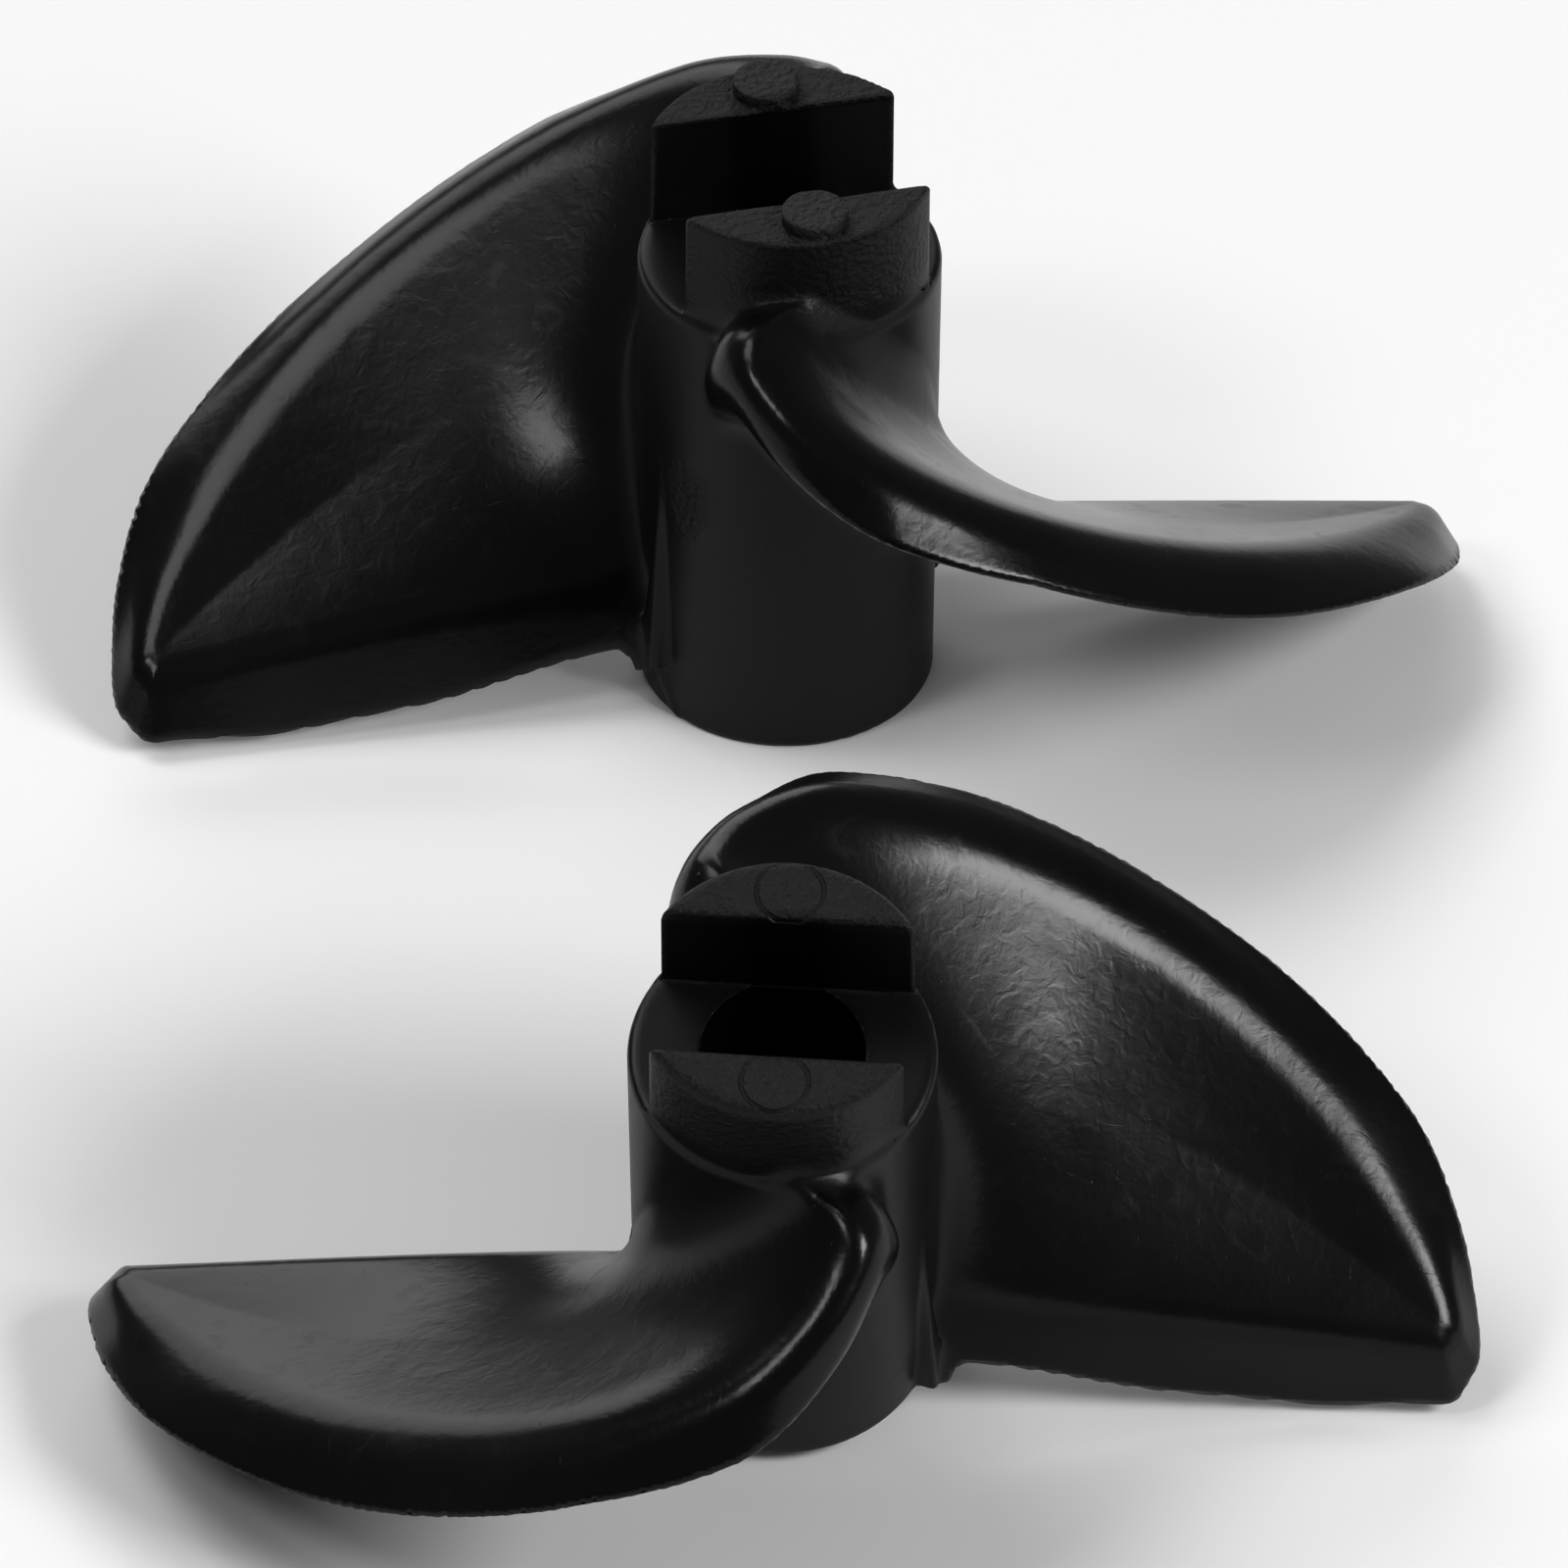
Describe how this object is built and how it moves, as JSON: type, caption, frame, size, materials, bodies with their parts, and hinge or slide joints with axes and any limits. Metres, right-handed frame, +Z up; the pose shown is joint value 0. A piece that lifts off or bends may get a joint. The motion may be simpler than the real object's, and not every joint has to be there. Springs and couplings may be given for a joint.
{
  "type": "two-blade propeller pair",
  "caption": "Handed pair of scoop-bladed model boat propellers, each a hub with a slotted drive end and a through bore.",
  "frame": {"origin": "on the standing surface, under the middle of the pair's outline", "axes": "+Z up along the left-hand hub's axis, towards its drive slot; the right-hand hub leans 19.5 degrees towards -Y; +Y from the right-hand propeller to the left-hand one"},
  "size_m": [0.0564, 0.0826, 0.0289],
  "materials": {
    "hub_plastic": "satin black moulded",
    "lug_plastic": "grained black moulded",
    "blade_plastic": "polished black moulded"
  },
  "bodies": {
    "left_hand_propeller": {"left_hand_hub": "hub_plastic", "left_hand_rear_lug": "lug_plastic", "left_hand_front_lug": "lug_plastic", "left_hand_blade_a": "blade_plastic", "left_hand_blade_b": "blade_plastic"},
    "right_hand_propeller": {"right_hand_hub": "hub_plastic", "right_hand_rear_lug": "lug_plastic", "right_hand_front_lug": "lug_plastic", "right_hand_blade_a": "blade_plastic", "right_hand_blade_b": "blade_plastic"}
  },
  "joints": [
    {"name": "right_hand_lift", "type": "slide", "parent": "left_hand_propeller", "child": "right_hand_propeller", "axis": [0, 0, 1], "range_m": [0, 0.06]}
  ]
}
